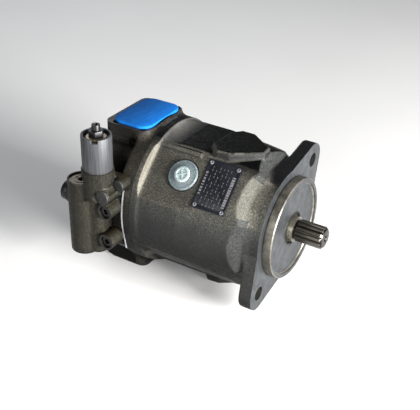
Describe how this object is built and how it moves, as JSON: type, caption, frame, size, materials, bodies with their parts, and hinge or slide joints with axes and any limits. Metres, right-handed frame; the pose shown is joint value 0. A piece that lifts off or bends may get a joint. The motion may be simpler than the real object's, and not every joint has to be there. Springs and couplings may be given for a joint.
{
  "type": "axial piston pump",
  "caption": "Swashplate axial piston pump with a two-bolt flange and pilot, splined shaft, port covers, drain plug, nameplate and a side-mounted pressure control valve.",
  "frame": {"origin": "centre of the mounting flange's front face, on the shaft axis", "axes": "+X along the shaft towards its splined end, +Z towards the suction port, -Y towards the control valve"},
  "size_m": [0.2399, 0.1737, 0.1725],
  "materials": {
    "cast_iron": "sand cast, oiled",
    "cast_iron_dark": "sand cast, dark and oiled",
    "cast_valve": "phosphated casting",
    "black_steel": "black oxide",
    "rubber_black": "matte",
    "bearing_steel": "ground",
    "shaft_steel": "machined, oiled",
    "machined_steel": "machined",
    "spring_steel": "oil tempered",
    "bronze": "machined bronze",
    "cap_aluminium": "turned",
    "aged_washer": "tarnished",
    "oiled_plug": "oily film",
    "blue_plastic": "moulded",
    "black_plastic": "moulded",
    "pale_plastic": "translucent moulding",
    "plate_black": "printed plate",
    "rivet_steel": "bright"
  },
  "bodies": {
    "pump_body": {"housing": "cast_iron", "port_plate": "cast_iron_dark", "housing_screws": "black_steel", "port_plate_gasket": "rubber_black", "shaft_seal": "rubber_black", "seal_retaining_ring": "black_steel", "front_bearing_outer": "bearing_steel", "rear_bearing_outer": "bearing_steel", "valve_plate": "bronze", "valve_plate_pin": "machined_steel", "cradle_bearings": "bronze", "control_cylinder": "machined_steel", "bias_spring_guide": "machined_steel", "bias_spring": "spring_steel", "control_valve_body": "cast_valve", "valve_seal": "rubber_black", "valve_screws": "black_steel", "valve_spring": "spring_steel", "spring_cap": "cap_aluminium", "seal_washer": "aged_washer", "blanking_plug": "oiled_plug", "valve_side_plugs": "cast_valve", "valve_end_plug": "black_steel", "gauge_plugs": "black_steel", "second_drain_plug": "machined_steel", "nameplate": "plate_black", "nameplate_rivets": "rivet_steel"},
    "rotor": {"drive_shaft": "shaft_steel", "shaft_retaining_ring": "black_steel", "front_bearing_inner": "bearing_steel", "rear_bearing_inner": "bearing_steel", "cylinder_block": "machined_steel", "guide_ball": "bearing_steel", "block_spring": "spring_steel", "spring_rings": "machined_steel"},
    "piston_set": {"pistons": "bearing_steel", "slippers": "bronze", "retaining_plate": "machined_steel"},
    "front_rollers": {"front_bearing_rollers": "bearing_steel"},
    "rear_rollers": {"rear_bearing_rollers": "bearing_steel"},
    "swashplate": {"swashplate": "machined_steel"},
    "control_piston": {"control_piston": "bearing_steel"},
    "bias_piston": {"bias_piston": "bearing_steel"},
    "spool": {"valve_spool": "bearing_steel"},
    "spring_seat": {"valve_spring_seat": "machined_steel"},
    "adjuster": {"adjusting_screw": "black_steel"},
    "lock_nut": {"lock_nut": "black_steel"},
    "suction_cover": {"suction_cover": "blue_plastic"},
    "pressure_cover": {"pressure_cover": "black_plastic"},
    "drain_plug": {"drain_plug": "pale_plastic"}
  },
  "joints": [
    {"name": "shaft_spin", "type": "hinge", "parent": "pump_body", "child": "rotor", "pos_m": [0, 0, 0], "axis": [1, 0, 0], "continuous": true},
    {"name": "swash_tilt", "type": "hinge", "parent": "pump_body", "child": "swashplate", "pos_m": [-0.06, 0, 0], "axis": [0, 0, -1], "range_deg": [0, 14]},
    {"name": "piston_stroke", "type": "slide", "parent": "rotor", "child": "piston_set", "axis": [-1, 0, 0], "range_m": [0, 0.0105]},
    {"name": "control_stroke", "type": "slide", "parent": "pump_body", "child": "control_piston", "axis": [-1, 0, 0], "range_m": [0, 0.0136]},
    {"name": "bias_stroke", "type": "slide", "parent": "pump_body", "child": "bias_piston", "axis": [1, 0, 0], "range_m": [0, 0.0131], "deforming": ["bias_spring"]},
    {"name": "front_roller_orbit", "type": "hinge", "parent": "pump_body", "child": "front_rollers", "pos_m": [0, 0, 0], "axis": [1, 0, 0], "continuous": true},
    {"name": "rear_roller_orbit", "type": "hinge", "parent": "pump_body", "child": "rear_rollers", "pos_m": [0, 0, 0], "axis": [1, 0, 0], "continuous": true},
    {"name": "spool_lift", "type": "slide", "parent": "pump_body", "child": "spool", "axis": [0, 0, 1], "range_m": [0, 0.003], "stiffness_N_per_m": 2000, "springref_m": -0.002, "deforming": ["valve_spring"]},
    {"name": "spring_seat_slide", "type": "slide", "parent": "pump_body", "child": "spring_seat", "axis": [0, 0, -1], "range_m": [0, 0.0025]},
    {"name": "adjusting_screw_turn", "type": "hinge", "parent": "spring_seat", "child": "adjuster", "pos_m": [-0.161, -0.08, 0.08], "axis": [0, 0, -1], "range_deg": [0, 721]},
    {"name": "lock_nut_turn", "type": "hinge", "parent": "pump_body", "child": "lock_nut", "pos_m": [-0.161, -0.08, 0.085], "axis": [0, 0, 1], "range_deg": [0, 360]},
    {"name": "suction_cover_lift", "type": "slide", "parent": "pump_body", "child": "suction_cover", "axis": [0, 0, 1], "range_m": [0, 0.04]},
    {"name": "pressure_cover_lift", "type": "slide", "parent": "pump_body", "child": "pressure_cover", "axis": [0, 0, -1], "range_m": [0, 0.04]},
    {"name": "drain_plug_lift", "type": "slide", "parent": "pump_body", "child": "drain_plug", "axis": [0, -0.7071, 0.7071], "range_m": [0, 0.025]}
  ],
  "couplings": [
    {"joint": "piston_stroke", "follows": "swash_tilt", "m_per_rad": 0.042563},
    {"joint": "control_stroke", "follows": "swash_tilt", "m_per_rad": 0.05525},
    {"joint": "bias_stroke", "follows": "swash_tilt", "m_per_rad": 0.053203},
    {"joint": "front_roller_orbit", "follows": "shaft_spin", "ratio": 0.42564},
    {"joint": "rear_roller_orbit", "follows": "shaft_spin", "ratio": 0.44681},
    {"joint": "adjusting_screw_turn", "follows": "spring_seat_slide", "rad_per_m": 5026.5}
  ]
}
